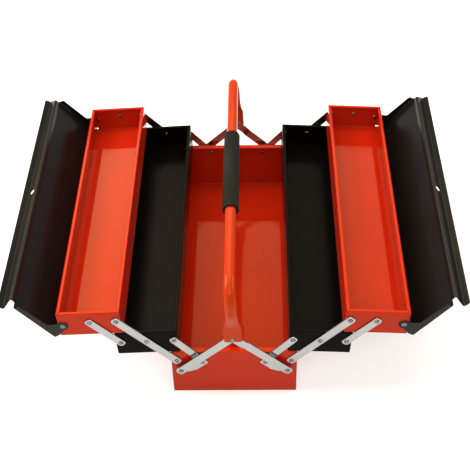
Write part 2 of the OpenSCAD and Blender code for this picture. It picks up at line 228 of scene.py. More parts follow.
# ---- Outlines and folded sections
def corner_arc(a, b, c, radius, steps=6):
    """The corner at b between a and c, rounded."""
    a, b, c = Vector(a), Vector(b), Vector(c)
    u, w = (a - b).normalized(), (c - b).normalized()
    half = math.acos(max(-1, min(1, u.dot(w)))) / 2
    centre = b + (u + w).normalized() * radius / math.sin(half)
    start = angle_of(b + u * radius / math.tan(half) - centre)
    sweep = angle_of(b + w * radius / math.tan(half) - centre) - start
    sweep = sweep - 360 if sweep > 180 else sweep + 360 if sweep < -180 else sweep
    return [centre + polar(radius, start + sweep * i / steps) for i in range(steps + 1)]


def folded_path(points, radius, hold=0.6, steps=6):
    """A sheet's path with rounded bends. A point just outside each bend keeps the flats flat."""
    path = [Vector(points[0])]
    for a, b, c in zip(points, points[1:], points[2:]):
        arc = corner_arc(a, b, c, radius, steps)
        into, out = (Vector(b) - Vector(a)).normalized(), (Vector(c) - Vector(b)).normalized()
        before, after = arc[0] - into * hold, arc[-1] + out * hold
        if (before - path[-1]).dot(into) > 0.05:
            path.append(before)
        path += arc
        path.append(after)
    end = Vector(points[-1])
    if (end - path[-1]).dot((end - Vector(points[-2])).normalized()) < 0.05:
        path.pop()
    path.append(end)
    return path


def directions(path):
    """Each point, with the directions in which the path comes to it and leaves it."""
    steps = [(b - a).normalized() for a, b in zip(path, path[1:])]
    return zip(path, steps[:1] + steps, steps + steps[-1:])


def right_of(v):
    return Vector((v.y, -v.x))


def outer_face(path, thickness):
    """The same path, moved to its right by the sheet's thickness."""
    out = []
    for p, a, b in directions(path):
        m = (right_of(a) + right_of(b)).normalized()
        out.append(p + m * thickness / m.dot(right_of(a)))
    return out


def anticlockwise(outline):
    area = sum(p.x * q.y - q.x * p.y for p, q in zip(outline, outline[1:] + outline[:1]))
    return outline if area > 0 else outline[::-1]


def moved_in(outline, amount):
    """An anticlockwise outline, moved inwards."""
    result = []
    for before, p, after in zip(outline[-1:] + outline, outline, outline[1:] + outline[:1]):
        na, nb = -right_of((p - before).normalized()), -right_of((after - p).normalized())
        result.append(p + (na + nb) * amount / (1 + na.dot(nb)))
    return result


def arc_points(centre, radius, start, stop, steps):
    return [Vector(centre) + polar(radius, start + (stop - start) * i / steps)
            for i in range(steps + 1)]


def strip_outline(reach, width, steps=7):
    """A punched strip with rounded ends, from its first pivot at 0 to its last at reach."""
    r, h = width * 0.4, width / 2
    lo, hi = -h, reach + h
    corners = ((hi - r, h - r, 0), (lo + r, h - r, 90), (lo + r, r - h, 180), (hi - r, r - h, 270))
    return [p for x, z, a in corners for p in arc_points((x, z), r, a, a + 90, steps)]


# ---- Meshes, in millimetres until they are finished
def ring(bm, points):
    return [bm.verts.new(p) for p in points]


def skin(bm, rings, around=True):
    """Joins rings of equal length with quads."""
    for low, high in zip(rings, rings[1:]):
        n = len(low)
        for i in range(n if around else n - 1):
            j = (i + 1) % n
            bm.faces.new((low[i], low[j], high[j], high[i]))


def cap(bm, rings):
    """Closes a row of rings with a face at each end."""
    bm.faces.new(rings[0][::-1])
    bm.faces.new(rings[-1])


def plate(bm, outline, lo, hi, edge):
    """A flat punched plate on the front end, between two distances from the wall, edges broken."""
    outline = anticlockwise([Vector(p) for p in outline])
    inner = moved_in(outline, edge)
    layers = ((inner, lo), (outline, lo + edge), (outline, hi - edge), (inner, hi))
    rings = [ring(bm, [(p.x, -HALF_LENGTH - d, p.y) for p in points]) for points, d in layers]
    skin(bm, rings)
    cap(bm, rings)


def step_out(bm, pivot, degrees, near, far, rise, cuts=11):
    """Joggles a plate: it rises by one layer between two distances along its leg."""
    along = Vector((polar(1, degrees).x, 0, polar(1, degrees).y))
    origin = Vector((pivot[0], 0, pivot[1]))
    for i in range(cuts):
        cut = near + (far - near) * i / (cuts - 1)
        bmesh.ops.bisect_plane(bm, geom=bm.verts[:] + bm.edges[:] + bm.faces[:], dist=1e-5,
                               plane_co=origin + along * cut, plane_no=along)
    for v in bm.verts:
        t = min(1, max(0, ((v.co - origin).dot(along) - near) / (far - near)))
        v.co.y -= rise * (0.5 * t + 0.5 * t * t * (3 - 2 * t))


def around(steps):
    """The cosine and sine of each step round a circle."""
    angles = (2 * math.pi * i / steps for i in range(steps))
    return [(math.cos(a), math.sin(a)) for a in angles]


def turned_piece(profile, at, facets, origin_y, outwards):
    """A ring turned about the Y axis from a profile of [radius, distance outwards]."""
    bm = bmesh.new()
    x, z = at
    rings = [ring(bm, [(x + r * c, origin_y + outwards * d, z + r * s) for r, d in profile])
             for c, s in around(facets)]
    skin(bm, rings + rings[:1])
    bmesh.ops.recalc_face_normals(bm, faces=bm.faces[:])
    return bm


def linked(name, data):
    """A new object in the scene."""
    obj = bpy.data.objects.new(name, data)
    bpy.context.scene.collection.objects.link(obj)
    return obj


def as_object(bm, name):
    """Turns a bmesh into an object of the scene."""
    mesh = bpy.data.meshes.new(name)
    bm.to_mesh(mesh)
    bm.free()
    return linked(name, mesh)


def discard(obj):
    mesh = obj.data
    bpy.data.objects.remove(obj)
    if mesh.users == 0:
        bpy.data.meshes.remove(mesh)


def plain_mesh(obj):
    """The object's mesh with its modifiers applied."""
    depsgraph = bpy.context.evaluated_depsgraph_get()
    depsgraph.update()
    return bpy.data.meshes.new_from_object(obj.evaluated_get(depsgraph), depsgraph=depsgraph)


def carved(bm, cutters):
    """bm less the cutters, as a new bmesh."""
    body, tool = as_object(bm, "body"), as_object(cutters, "tool")
    cut = body.modifiers.new("Cut", "BOOLEAN")
    cut.operation, cut.solver, cut.object, cut.use_self = "DIFFERENCE", "EXACT", tool, True
    mesh = plain_mesh(body)
    discard(body)
    discard(tool)
    result = bmesh.new()
    result.from_mesh(mesh)
    bpy.data.meshes.remove(mesh)
    if not result.faces:
        raise RuntimeError("a cut left nothing")
    return result


def add_box(bm, matrix, size):
    made = bmesh.ops.create_cube(bm, size=1.0)["verts"]
    bmesh.ops.transform(bm, matrix=matrix @ Matrix.Diagonal((*size, 1)), verts=made)


def add_rod(bm, matrix, radius, depth, facets=24):
    made = bmesh.ops.create_cone(bm, cap_ends=True, segments=facets, depth=depth,
                                 radius1=radius, radius2=radius)
    bmesh.ops.transform(bm, matrix=matrix, verts=made["verts"])


def add_copy(bm, other):
    """Adds all that is in another bmesh."""
    spare = bpy.data.meshes.new("spare")
    other.to_mesh(spare)
    bm.from_mesh(spare)
    bpy.data.meshes.remove(spare)


def finished(name, shape, body, node, material, mirror=(1, 1), sharp=32.0, scale=MM):
    """Puts a piece in its place at rest, gives it its finish and hides the part of model.glb that
    it stands for.
    """
    bm = bmesh.new()
    if isinstance(shape, bpy.types.Mesh):
        bm.from_mesh(shape)
    else:
        add_copy(bm, shape)
    bm.transform(Matrix.Diagonal((mirror[0] * scale, mirror[1] * scale, scale, 1)))
    if mirror[0] * mirror[1] < 0:
        bmesh.ops.reverse_faces(bm, faces=bm.faces[:])
    for face in bm.faces:
        face.smooth = True
    obj = as_object(bm, name.replace(" ", "_"))
    obj.data.set_sharp_from_angle(angle=math.radians(sharp))
    obj.data.materials.clear()
    obj.data.materials.append(material)
    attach(obj, body)
    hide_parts(node)


# ---- Finishes
class Value:
    """What comes out of a node, ready for plain arithmetic."""

    def __init__(self, nodes, socket):
        self.nodes, self.socket = nodes, socket

    def __add__(self, other):
        return self.nodes.maths("ADD", self, other)

    def __sub__(self, other):
        return self.nodes.maths("SUBTRACT", self, other)

    def __rsub__(self, other):
        return self.nodes.maths("SUBTRACT", other, self)

    def __mul__(self, other):
        return self.nodes.maths("MULTIPLY", self, other)

    def __truediv__(self, other):
        return self.nodes.maths("DIVIDE", self, other)

    def __pow__(self, other):
        return self.nodes.maths("POWER", self, other)

    def __abs__(self):
        return self.nodes.maths("ABSOLUTE", self)


class Nodes:
    """A node tree under construction. Inputs are plain values or what comes out of other nodes."""

    def node(self, kind, inputs=None, out=0, **settings):
        made = self.tree.nodes.new(kind)
        for key, value in settings.items():
            setattr(made, key, value)
        for key, value in (inputs or {}).items():
            if isinstance(value, Value):
                self.tree.links.new(value.socket, made.inputs[key])
            else:
                made.inputs[key].default_value = value
        return Value(self, made.outputs[out])

    def maths(self, operation, *values):
        return self.node("ShaderNodeMath", dict(enumerate(values)), operation=operation)


class Finish(Nodes):
    """A material under construction: a Principled shader and the pattern nodes that feed it."""

    def __init__(self, name, **fixed):
        self.material = bpy.data.materials.new(name)
        self.material.use_nodes = True
        self.tree = self.material.node_tree
        self.tree.nodes.clear()
        self.shader = self.tree.nodes.new("ShaderNodeBsdfPrincipled")
        output = self.tree.nodes.new("ShaderNodeOutputMaterial")
        self.tree.links.new(self.shader.outputs["BSDF"], output.inputs["Surface"])
        for socket, value in fixed.items():
            self.shader.inputs[socket.replace("_", " ")].default_value = value
        self.place = self.node("ShaderNodeTexCoord", out="Object")

    def mapped(self, turn=(0, 0, 0), scale=(1, 1, 1)):
        return self.node("ShaderNodeMapping", {
            "Vector": self.place, "Rotation": turn, "Scale": scale})

    def noise(self, scale, detail=3.0, rough=0.5, vector=None, distortion=0.0):
        return self.node("ShaderNodeTexNoise", {
            "Vector": vector or self.place, "Scale": scale, "Detail": detail,
            "Roughness": rough, "Distortion": distortion}, out="Fac")

    def cells(self, scale):
        inputs = {"Vector": self.place, "Scale": scale, "Randomness": 1.0}
        return self.node("ShaderNodeTexVoronoi", inputs, out="Distance")

    def ranged(self, value, given, wanted=(0.0, 1.0)):
        """Stretches the given range of a value to the wanted one."""
        return self.node("ShaderNodeMapRange", {
            "Value": value, "From Min": given[0], "From Max": given[1],
            "To Min": wanted[0], "To Max": wanted[1]})

    def between(self, factor, a, b):
        a, b = (v if isinstance(v, Value) else (*v[:3], 1) for v in (a, b))
        return self.node("ShaderNodeMix", {0: factor, 6: a, 7: b}, out=2, data_type="RGBA")

    def feed(self, socket, value):
        self.tree.links.new(value.socket, self.shader.inputs[socket])

    def bumps(self, *layers):
        """Height layers as (height, strength, distance), finest last."""
        inputs = {}
        for height, strength, distance in layers:
            inputs.update({"Height": height, "Strength": strength, "Distance": distance})
            inputs["Normal"] = self.node("ShaderNodeBump", inputs)
        self.feed("Normal", inputs["Normal"])


def shade(base, factor, lift=0.0):
    return tuple(min(1.0, factor * c + lift) for c in base[:3])


# Each enamel: shade of its thicker film, what is added to the roughness, how strongly it mirrors
# its surroundings and the tint that it gives them
Coat = namedtuple("Coat", "deep dulling mirror tint")
COATS = {
    "orange": Coat(0.90, 0.0, 0.20, (1.0, 0.58, 0.22)),
    # the handle's coat goes with a yellower copy of the orange paint, whose extra yellow is a
    # painted highlight
    "handle": Coat(0.90, 0.0, 0.16, (1.0, 0.62, 0.28)),
    "black": Coat(0.80, 0.17, 0.032, (0.86, 0.93, 1.0)),
    # the lids' coat goes with a lighter copy of the black paint, whose lift is a painted sheen
    "lid": Coat(0.80, 0.16, 0.17, (0.94, 0.95, 0.94)),
}


def enamel(name, base, coat, gloss):
    """Stoved gloss enamel: orange peel, cloudy film thickness, hairline rubs, dust specks."""
    f = Finish(name, Metallic=0.0, IOR=1.5, Specular_IOR_Level=coat.mirror,
               Specular_Tint=(*coat.tint, 1.0))
    cloud = f.ranged(f.noise(9.0, rough=0.55), (0.3, 0.7))
    specks = f.noise(2600.0, 2.0, 0.6)
    dust = f.ranged(specks, (0.70, 0.78), (0.0, 0.10))
    film = f.between(cloud, shade(base, coat.deep), base)
    f.feed("Base Color", f.between(dust, film, shade(base, 1.6, lift=0.01)))
    rub_a = f.noise(55.0, 4.0, 0.65, f.mapped((0, 0, 0.5), (1.0, 0.06, 1.0)), distortion=0.3)
    rub_b = f.noise(70.0, 4.0, 0.65, f.mapped((0.4, 0, -0.6), (0.08, 1.0, 0.6)), distortion=0.3)
    rubs = f.maths("MAXIMUM", f.ranged(rub_a, (0.60, 0.72)), f.ranged(rub_b, (0.62, 0.74)))
    smear = f.ranged(f.noise(16.0, 4.0, 0.6), (0.35, 0.7), (0.0, 0.03))
    f.feed("Roughness", smear + (gloss + coat.dulling) + rubs * 0.04)
    orange_peel = f.noise(330.0, 2.0)
    f.bumps((orange_peel, 0.10, 0.00012), (specks, 0.06, 0.00003))
    return f.material


def zinc_plate(name, base, direction):
    """Bright zinc on rolled strip: fine drawn lines along it, faint clouding, scuffed highs."""
    f = Finish(name, Metallic=1.0, Anisotropic=0.15)
    along_strip = f.mapped((0, math.radians(direction), 0), (0.03, 0.5, 1.0))
    drawn = f.noise(2400.0, rough=0.6, vector=along_strip)
    cloud = f.noise(60.0, 4.0, 0.6)
    bloom = f.cells(420.0)
    tone = f.between(f.ranged(cloud, (0.3, 0.72)), shade(base, 0.92), shade(base, 1.06))
    tone = f.between(f.ranged(bloom, (0.0, 0.8), (0.0, 0.22)), tone, shade(base, 0.62))
    tone = f.between(f.ranged(drawn, (0.55, 0.8), (0.0, 0.28)), tone, shade(base, 0.70))
    f.feed("Base Color", tone)
    rough = f.ranged(cloud, (0.3, 0.7), (0.17, 0.25))
    f.feed("Roughness", rough + f.ranged(drawn, (0.3, 0.8), (-0.04, 0.08)))
    f.bumps((drawn, 0.18, 0.00004), (bloom, 0.08, 0.00003))
    return f.material


def rivet_steel(name, base):
    """Headed steel rivets: the darker tone and the noise's dark and light patches are painted
    reflection, standing in for what the domed heads mirror.
    """
    f = Finish(name, Metallic=1.0)
    reflection_mottle = f.noise(520.0, 4.0, 0.6)
    # painted reflection: dark and light patches from a noise, on a tone darker than the zinc
    tone = f.between(f.ranged(reflection_mottle, (0.42, 0.60)), shade(base, 0.09), shade(base, 0.72))
    f.feed("Base Color", tone)
    f.feed("Roughness", f.ranged(reflection_mottle, (0.3, 0.7), (0.12, 0.24)))
    f.bumps((reflection_mottle, 0.25, 0.00008))
    return f.material


def foam_sleeve(name, base):
    """Closed-cell foam: open pores of two sizes, rubbed lighter along the top."""
    f = Finish(name, Metallic=0.0, IOR=1.45, Specular_IOR_Level=0.14)
    pores = f.cells(950.0)
    mottle = f.noise(140.0, 5.0, 0.7)
    worn = f.noise(28.0, rough=0.55, vector=f.mapped(scale=(1.0, 0.25, 1.0)))
    tone = f.between(f.ranged(mottle, (0.3, 0.72)), shade(base, 0.5), shade(base, 1.9))
    tone = f.between(f.ranged(worn, (0.46, 0.72), (0.0, 0.75)), tone, shade(base, 3.6))
    tone = f.between(f.ranged(pores, (0.0, 0.28), (0.5, 0.0)), tone, shade(base, 0.3))
    f.feed("Base Color", tone)
    f.feed("Roughness", f.ranged(mottle, (0.3, 0.7), (0.62, 0.82)))
    f.bumps((mottle, 0.35, 0.0004), (pores, 0.4, 0.00018))
    return f.material


def studio_floor(name, base):
    """Plain pale board with the faintest tooth, lit a little from below as a light table is."""
    f = Finish(name, Metallic=0.0, Emission_Color=(1.0, 1.0, 1.0, 1.0), Emission_Strength=0.50)
    f.feed("Base Color", f.between(f.noise(2.0, 2.0), shade(base, 0.99), base))
    f.feed("Roughness", f.ranged(f.noise(90.0, 2.0), (0.3, 0.7), (0.75, 0.85)))
    return f.material


def kept(name, maker, *values):
    """A finish is made once and shared by the pieces that have it."""
    return bpy.data.materials.get(name) or maker(name, *values)


def sprayed(kind):
    colours = bpy.context.scene.toolbox_finish
    return kept(kind + " enamel", enamel, getattr(colours, kind), COATS[kind], colours.gloss)


def zinc_strip(direction):
    base = bpy.context.scene.toolbox_finish.zinc
    return kept("zinc strip %d" % round(direction), zinc_plate, base, direction)


def rivet_finish():
    return kept("rivet steel", rivet_steel, bpy.context.scene.toolbox_finish.zinc)


# ---- Node trees
class GeometryTree(Nodes):
    """A geometry node tree under construction, with named inputs."""

    def __init__(self, name):
        self.tree = bpy.data.node_groups.new(name, "GeometryNodeTree")
        self.socket("Geometry", "Geometry", "OUTPUT")
        self.inputs = self.tree.nodes.new("NodeGroupInput")
        self.result = self.tree.nodes.new("NodeGroupOutput")
        self.start = self.asked("Geometry", "Geometry")

    def socket(self, name, kind, in_out):
        return self.tree.interface.new_socket(
            name=name, in_out=in_out, socket_type="NodeSocket" + kind)

    def asked(self, name, kind, default=None, subtype=None):
        """An input of the tree, as the modifier shows it."""
        socket = self.socket(name, kind, "INPUT")
        if default is not None:
            socket.default_value = default
        if subtype:
            socket.subtype = subtype
        return Value(self, self.inputs.outputs[name])

    def size(self, name, default):
        return self.asked(name, "Float", default, "DISTANCE")

    def attribute(self, name, data_type="FLOAT"):
        return self.node("GeometryNodeInputNamedAttribute", {"Name": name}, data_type=data_type)

    def position(self):
        """The x, y and z of each point."""
        split = self.node("ShaderNodeSeparateXYZ", {0: self.node("GeometryNodeInputPosition")})
        return [Value(self, socket) for socket in split.socket.node.outputs]

    def point(self, x=0.0, y=0.0, z=0.0):
        return self.node("ShaderNodeCombineXYZ", {0: x, 1: y, 2: z})

    def clamped(self, value):
        return self.node("ShaderNodeClamp", {0: value})

    def blend(self, a, b, t):
        return self.maths("MULTIPLY_ADD", self.maths("SUBTRACT", b, a), t, a)

    def moved(self, geometry, where, place):
        return self.node("GeometryNodeSetPosition", {
            "Geometry": geometry, "Selection": where, "Position": place})

    def swept(self, facets, radius, **thickness):
        """A round bar along every edge of the starting mesh."""
        line = self.node("GeometryNodeMeshToCurve", {"Mesh": self.start})
        circle = self.node("GeometryNodeCurvePrimitiveCircle", {
            "Resolution": facets, "Radius": radius})
        return self.node("GeometryNodeCurveToMesh", {
            "Curve": line, "Profile Curve": circle, "Fill Caps": True, **thickness})

    def join(self, *geometry):
        made = self.node("GeometryNodeJoinGeometry")
        for part in reversed(geometry):
            self.tree.links.new(part.socket, made.socket.node.inputs[0])
        return made

    def end(self, geometry, material):
        plain = self.node("GeometryNodeRealizeInstances", {"Geometry": geometry})
        painted = self.node("GeometryNodeSetMaterial", {"Geometry": plain, "Material": material})
        self.tree.links.new(painted.socket, self.result.inputs[0])
        return self.tree


def grown(mesh, tree, values):
    """Runs a node tree over a starting mesh and returns the plain mesh it makes."""
    obj = linked("start", mesh)
    modifier = obj.modifiers.new("Make", "NODES")
    modifier.node_group = tree
    sockets = {s.name: s.identifier for s in tree.interface.items_tree if s.in_out == "INPUT"}
    for name, value in values.items():
        modifier[sockets[name]] = value
    made = plain_mesh(obj)
    obj.modifiers.remove(modifier)
    discard(obj)
    if not made.polygons:
        raise RuntimeError("the node tree %s made nothing" % tree.name)
    return made


# How a rivet's end is marked, and its height at shares of its radius
TAIL, HEAD, BARE = 0, 1, 2
HEAD_DOME = ((0.0, 0.90), (1.0, 0.12), (0.30, 0.93), (0.52, 1.0), (0.78, 0.78), (0.95, 0.42))
TAIL_DOME = ((0.0, 0.80), (1.0, 0.10), (0.45, 0.86), (0.62, 1.0), (0.9, 0.5))


def rivet_tree():
    """Every edge becomes a shank; its marked ends get a domed head or a flatter tail."""
    t = GeometryTree("Rivets")
    head_r, head_h = t.size("Head Radius", 0.0042), t.size("Head Height", 0.00095)
    facets, material = t.asked("Facets", "Int", 28), t.asked("Material", "Material")
    outward, kind = t.attribute("outward", "FLOAT_VECTOR"), t.attribute("kind", "INT")
    ball = t.node("GeometryNodeMeshUVSphere", {"Segments": facets, "Rings": 14, "Radius": 1.0})
    x, y, z = t.position()
    r, upper = t.maths("SQRT", x * x + y * y), t.maths("GREATER_THAN", z, 0.0001)

    def dome(points):
        """The ball, with its upper half raised along a curve and its lower half flat."""
        height = t.node("ShaderNodeFloatCurve", {"Value": r})
        curve = height.socket.node.mapping
        line = curve.curves[0]
        line.points[0].location, line.points[1].location = points[:2]
        for point in points[2:]:
            line.points.new(*point)
        curve.update()
        return t.moved(ball, True, t.point(x, y, height * upper))

    def ends(mark, points, direction, width, height):
        facing = t.node("FunctionNodeAlignRotationToVector", {"Vector": direction}, axis="Z")
        chosen = t.node("FunctionNodeCompare", {2: kind, 3: mark}, data_type="INT",
                        operation="EQUAL")
        return t.node("GeometryNodeInstanceOnPoints", {
            "Points": t.start, "Selection": chosen, "Instance": dome(points),
            "Rotation": facing, "Scale": t.point(width, width, height)})

    inward = t.node("ShaderNodeVectorMath", {0: outward, 1: (-1, -1, -1)}, operation="MULTIPLY")
    heads = ends(HEAD, HEAD_DOME, outward, head_r, head_h)
    tails = ends(TAIL, TAIL_DOME, inward, head_r * 0.95, head_h * 1.2)
    return t.end(t.join(heads, tails, t.swept(facets, 1.0, Scale=t.attribute("thick"))), material)


def tube_tree():
    """Sweeps a tube along a line, swells it below its bends and presses its two ends flat."""
    t = GeometryTree("Handle Tube")
    tube, leg = t.size("Tube Diameter", 0.018), t.size("Leg Distance", 0.27195)
    low, high, top = t.size("End", 0.1367), t.size("Flat Top", 0.1697), t.size("Flare Top", 0.2007)
    wide, thin = t.size("Flat Width", 0.028), t.size("Flat Thickness", 0.0028)
    bar, bend = t.size("Bar Height", 0.249), t.size("Bend Radius", 0.034)
    swollen, corner = t.size("Leg Width", 0.0205), t.size("Corner", 0.002)
    lean, lean_z = t.asked("Lean", "Float", 0.0, "ANGLE"), t.size("Lean Height", 0.1411)
    facets, material = t.asked("Facets", "Int", 40), t.asked("Material", "Material")
    half = tube * 0.5
    x, y, z = t.position()

    # how far the tube is pressed at each height, from 0 (round) to 1 (flat), and its end's corners
    press = t.clamped((top - z) / (top - high))
    squared = press * press
    eased = squared * t.maths("MULTIPLY_ADD", press, -2.0, 3.0)
    near_end = t.clamped(1.0 - (z - low) / corner)
    lost = 1.0 - t.maths("SQRT", 1.0 - near_end * near_end)
    width = t.blend(swollen, wide, squared * squared) - corner * 2.0 * lost
    depth = t.blend(tube, thin, t.blend(eased, press, 0.45))
    exponent = t.blend(1.0, 0.35, squared)

    def shaped(value, across):
        """Takes a round section to one with square shoulders."""
        return abs(value) ** exponent * across * 0.5 * t.maths("SIGN", value)

    def part(side):
        return t.node("FunctionNodeCompare", {0: z, 1: top}, data_type="FLOAT", operation=side)

    from_leg = shaped((abs(y) - leg) / half, depth)
    flat_y = (leg + from_leg) * t.maths("SIGN", y)
    oval = t.blend(tube, swollen, t.clamped((bar - z) / bend)) / tube
    swelled = t.moved(t.swept(facets, half), part("GREATER_EQUAL"), t.point(x * oval, y, z))
    shape = t.moved(swelled, part("LESS_THAN"), t.point(shaped(x / half, width), flat_y, z))

    # lean the whole about the rivets
    for change in ({"Translation": t.point(z=lean_z * -1.0)}, {"Rotation": t.point(y=lean)},
                   {"Translation": t.point(z=lean_z)}):
        shape = t.node("GeometryNodeTransform", {"Geometry": shape, **change})
    return t.end(shape, material)


# ---- Pieces
def rounded_ring(half_w, half_l, radius, z, steps=5, hold=0.8):
    """One level of a tray: a rounded rectangle with a point on each side of every corner."""
    points = []
    for sx, sy, start in ((1, 1, 0), (-1, 1, 90), (-1, -1, 180), (1, -1, 270)):
        centre = Vector((sx * (half_w - radius), sy * (half_l - radius)))
        arc = arc_points(centre, radius, start, start + 90, steps)
        points += [arc[0] - polar(hold, start + 90)] + arc + [arc[-1] + polar(hold, start + 180)]
    return [(p.x, p.y, z) for p in points]


def pan_profile(height, rim, p):
    """The wall's section as [inset, z]: from under the floor, over the rim and down inside.

    The small steps beside the folds keep the flats flat."""
    sheet, corner, fold, lip = (v / MM for v in (p.sheet, p.corner, p.fold, p.lip))
    turn = 0.9
    under, foot = height - sheet, height - lip

    def arc(centre, radius, start, stop, steps=5):
        x, z = centre
        angles = [math.radians(start + (stop - start) * i / steps) for i in range(steps + 1)]
        return [(x - radius * math.cos(a), z + radius * math.sin(a)) for a in angles]

    return (
        [(corner + 1, 0)] + arc((corner, corner), corner, -90, 0)
        + [(0, corner + 0.8), (0, height - fold - 0.8)] + arc((fold, height - fold), fold, 0, 90)
        + [(fold + 0.5, height), (rim - turn - 0.4, height)]
        + arc((rim - turn, height - turn), turn, 90, 180, 4)
        + [(rim, height - turn - 0.3), (rim, foot + 0.3), (rim - 0.2, foot),
           (rim - sheet + 0.2, foot), (rim - sheet, foot + 0.3), (rim - sheet, under - 0.3),
           (rim - sheet - 0.3, under), (fold + 0.4, under)]
        + arc((fold, height - fold), fold - sheet, 90, 0, 3)
        + [(sheet, height - fold - 0.6), (sheet, corner + 0.8)]
        + arc((corner, corner), corner - sheet, 0, -90)
        + [(corner + 1, sheet)])


# Cuts at a tray's corners: where the mitre's slit starts inside the rim and how many sheets deep
# it goes; the seam's width, its depth, how much shorter than the wall it is and how much lower
SLIT_INSET, SLIT_DEPTH = 1.4, 2.6
SEAM_WIDTH, SEAM_DEPTH, SEAM_SHORT, SEAM_DROP = 0.8, 1.4, 7.0, 1.0
HOLE_DEPTH = 3.4


def pan(width, height, rim, relieved=False):
    """An open tray folded from sheet, with a rolled-over rim mitred at its corners."""
    p = bpy.context.scene.toolbox_sheet_metal
    sheet, lip, corner, relief = (v / MM for v in (p.sheet, p.lip, p.corner, p.relief))
    bm = bmesh.new()
    rings = []
    for inset, z in pan_profile(height, rim, p):
        radius = max(0.3, corner - inset)
        rings.append(ring(bm, rounded_ring(width / 2 - inset, HALF_LENGTH - inset, radius, z)))
    skin(bm, rings)
    cap(bm, rings)
    bmesh.ops.recalc_face_normals(bm, faces=bm.faces[:])

    cutters = bmesh.new()
    for sx in (-1, 1):
        for sy in (-1, 1):
            # the rims' lips are cut away inside the corner, and a slit and a seam show the mitre
            x, y = sx * (width / 2 - rim), sy * (HALF_LENGTH - rim)
            notch = shift(x, y, height - sheet - lip / 2 - 0.02) @ spin(45, "Z")
            add_box(cutters, notch, (4 * sheet, 4 * sheet, lip))
            out = rim / 2 - SLIT_INSET
            slit = shift(x + sx * out, y + sy * out, height) @ spin(45 * sx * sy, "Z")
            add_box(cutters, slit, ((rim + 0.4) * 1.2, p.mitre / MM, SLIT_DEPTH * sheet))
            seam = shift(sx * (width / 2 - corner - 0.5), sy * HALF_LENGTH, height / 2 - SEAM_DROP)
            add_box(cutters, seam, (SEAM_WIDTH, SEAM_DEPTH, height - SEAM_SHORT))
            if relieved and sx > 0:
                hole = shift(width / 2 - sheet - relief * 0.45, sy * (HALF_LENGTH - 0.3),
                             sheet + relief * 0.5)
                add_rod(cutters, hole @ spin(90, "X"), relief / 2, HOLE_DEPTH)
    return carved(bm, cutters)


class TOOLBOX_OT_base_tray(Operator):
    """Folds the orange base tray with its wide rim"""
    bl_idname = "toolbox.base_tray"
    bl_label = "Base Tray"

    def execute(self, context):
        bm = pan(BASE_WIDTH, BASE_HEIGHT, context.scene.toolbox_sheet_metal.base_rim / MM)
        finished("base tray", bm, "base", "base_tray", sprayed("orange"))
        return {"FINISHED"}


def pair_of_trays(name, node, place, kind, relieved):
    """The same tray on both sides, each on its own body."""
    rim = bpy.context.scene.toolbox_sheet_metal.tray_rim / MM
    bm = pan(TRAY_WIDTH, TRAY_HEIGHT, rim, relieved)
    bm.transform(place)
    for side, sx in SIDES.items():
        finished("%s %s" % (name, side), bm, "%s_%s" % (side, node), "%s_%s" % (node, side),
                 sprayed(kind), (sx, 1))


class TOOLBOX_OT_middle_trays(Operator):
    """Folds the two black middle trays"""
    bl_idname = "toolbox.middle_trays"
    bl_label = "Middle Trays"

    def execute(self, context):
        place = ON_MID_TRAY @ shift(0, 0, -TRAY_PIVOT_Z)
        pair_of_trays("middle tray", "mid_tray", place, "black", False)
        return {"FINISHED"}


class TOOLBOX_OT_top_trays(Operator):
    """Folds the two orange top trays"""
    bl_idname = "toolbox.top_trays"
    bl_label = "Top Trays"

    def execute(self, context):
        place = ON_TOP_TRAY @ shift(PITCH, 0, -TRAY_PIVOT_Z)
        pair_of_trays("top tray", "top_tray", place, "orange", True)
        return {"FINISHED"}


# The lid's section about its hinge: a sloping panel, then a bead, the ridge and its lip
LID_FRONT, LID_FOOT, EAR_RADIUS = 12.0, 16.1, 8.5
PANEL_N, PANEL_END = 27.05, -72.6
BEAD_START = PANEL_END - 0.9
RIDGE_FOOT, RIDGE_TOP = Vector((-83.7, 35.0)), Vector((-80.8, 49.9))
# Heights at which the ridge's ends leave the bead, are full and start to round off
RIDGE_LOW, RIDGE_FULL, RIDGE_ROUND, RIDGE_CORNER = 36.5, 48.0, 51.6, 4.0
BEAD_Y, RIDGE_Y = HALF_LENGTH - 7.15, HALF_LENGTH + 1.5
RIDGE_STATIONS = (36.5, 40, 44, 48, 51.6, 52.4, 53.2, 53.8, 54.3, 54.6)
PADLOCK_HEIGHT = 7.6


def on_panel(x):
    """The point of the panel's inner face at x."""
    slope = math.radians(LID_SLOPE)
    return (x, (PANEL_N - x * math.sin(slope)) / math.cos(slope))


def lid_section():
    return [(LID_FRONT, LID_FOOT), on_panel(LID_FRONT), on_panel(PANEL_END), (-74.8, 33.2),
            (-81.4, 32.9), tuple(RIDGE_FOOT), tuple(RIDGE_TOP), (-89.9, 54.8)]


def lid_end_at(p, full):
    """How far from its middle the lid's sheet ends: the bead and the ridge are cut back."""
    if p.x > BEAD_START:
        return full
    if p.y < RIDGE_LOW:
        return BEAD_Y
    if p.y < RIDGE_FULL:
        return BEAD_Y + (RIDGE_Y - BEAD_Y) * (p.y - RIDGE_LOW) / (RIDGE_FULL - RIDGE_LOW)
    rise = min(1.0, max(0.0, (p.y - RIDGE_ROUND) / RIDGE_CORNER))
    return RIDGE_Y - RIDGE_CORNER * (1 - math.sqrt(1 - rise * rise))


def with_stations(path):
    """More points along the ridge, so that its ends can be cut to shape."""
    dense = [path[0]]
    for a, b in zip(path, path[1:]):
        stops = set()
        if a.x > BEAD_START > b.x:
            stops |= {(a.x - (PANEL_END - d)) / (a.x - b.x) for d in (0.89, 0.95)}
        if b.x < PANEL_END - 2 and b.y > a.y:
            stops |= {(z - a.y) / (b.y - a.y) for z in RIDGE_STATIONS if a.y < z < b.y}
        dense += [a.lerp(b, s) for s in sorted(stops) if 0.001 < s < 0.999]
        dense.append(b)
    return dense


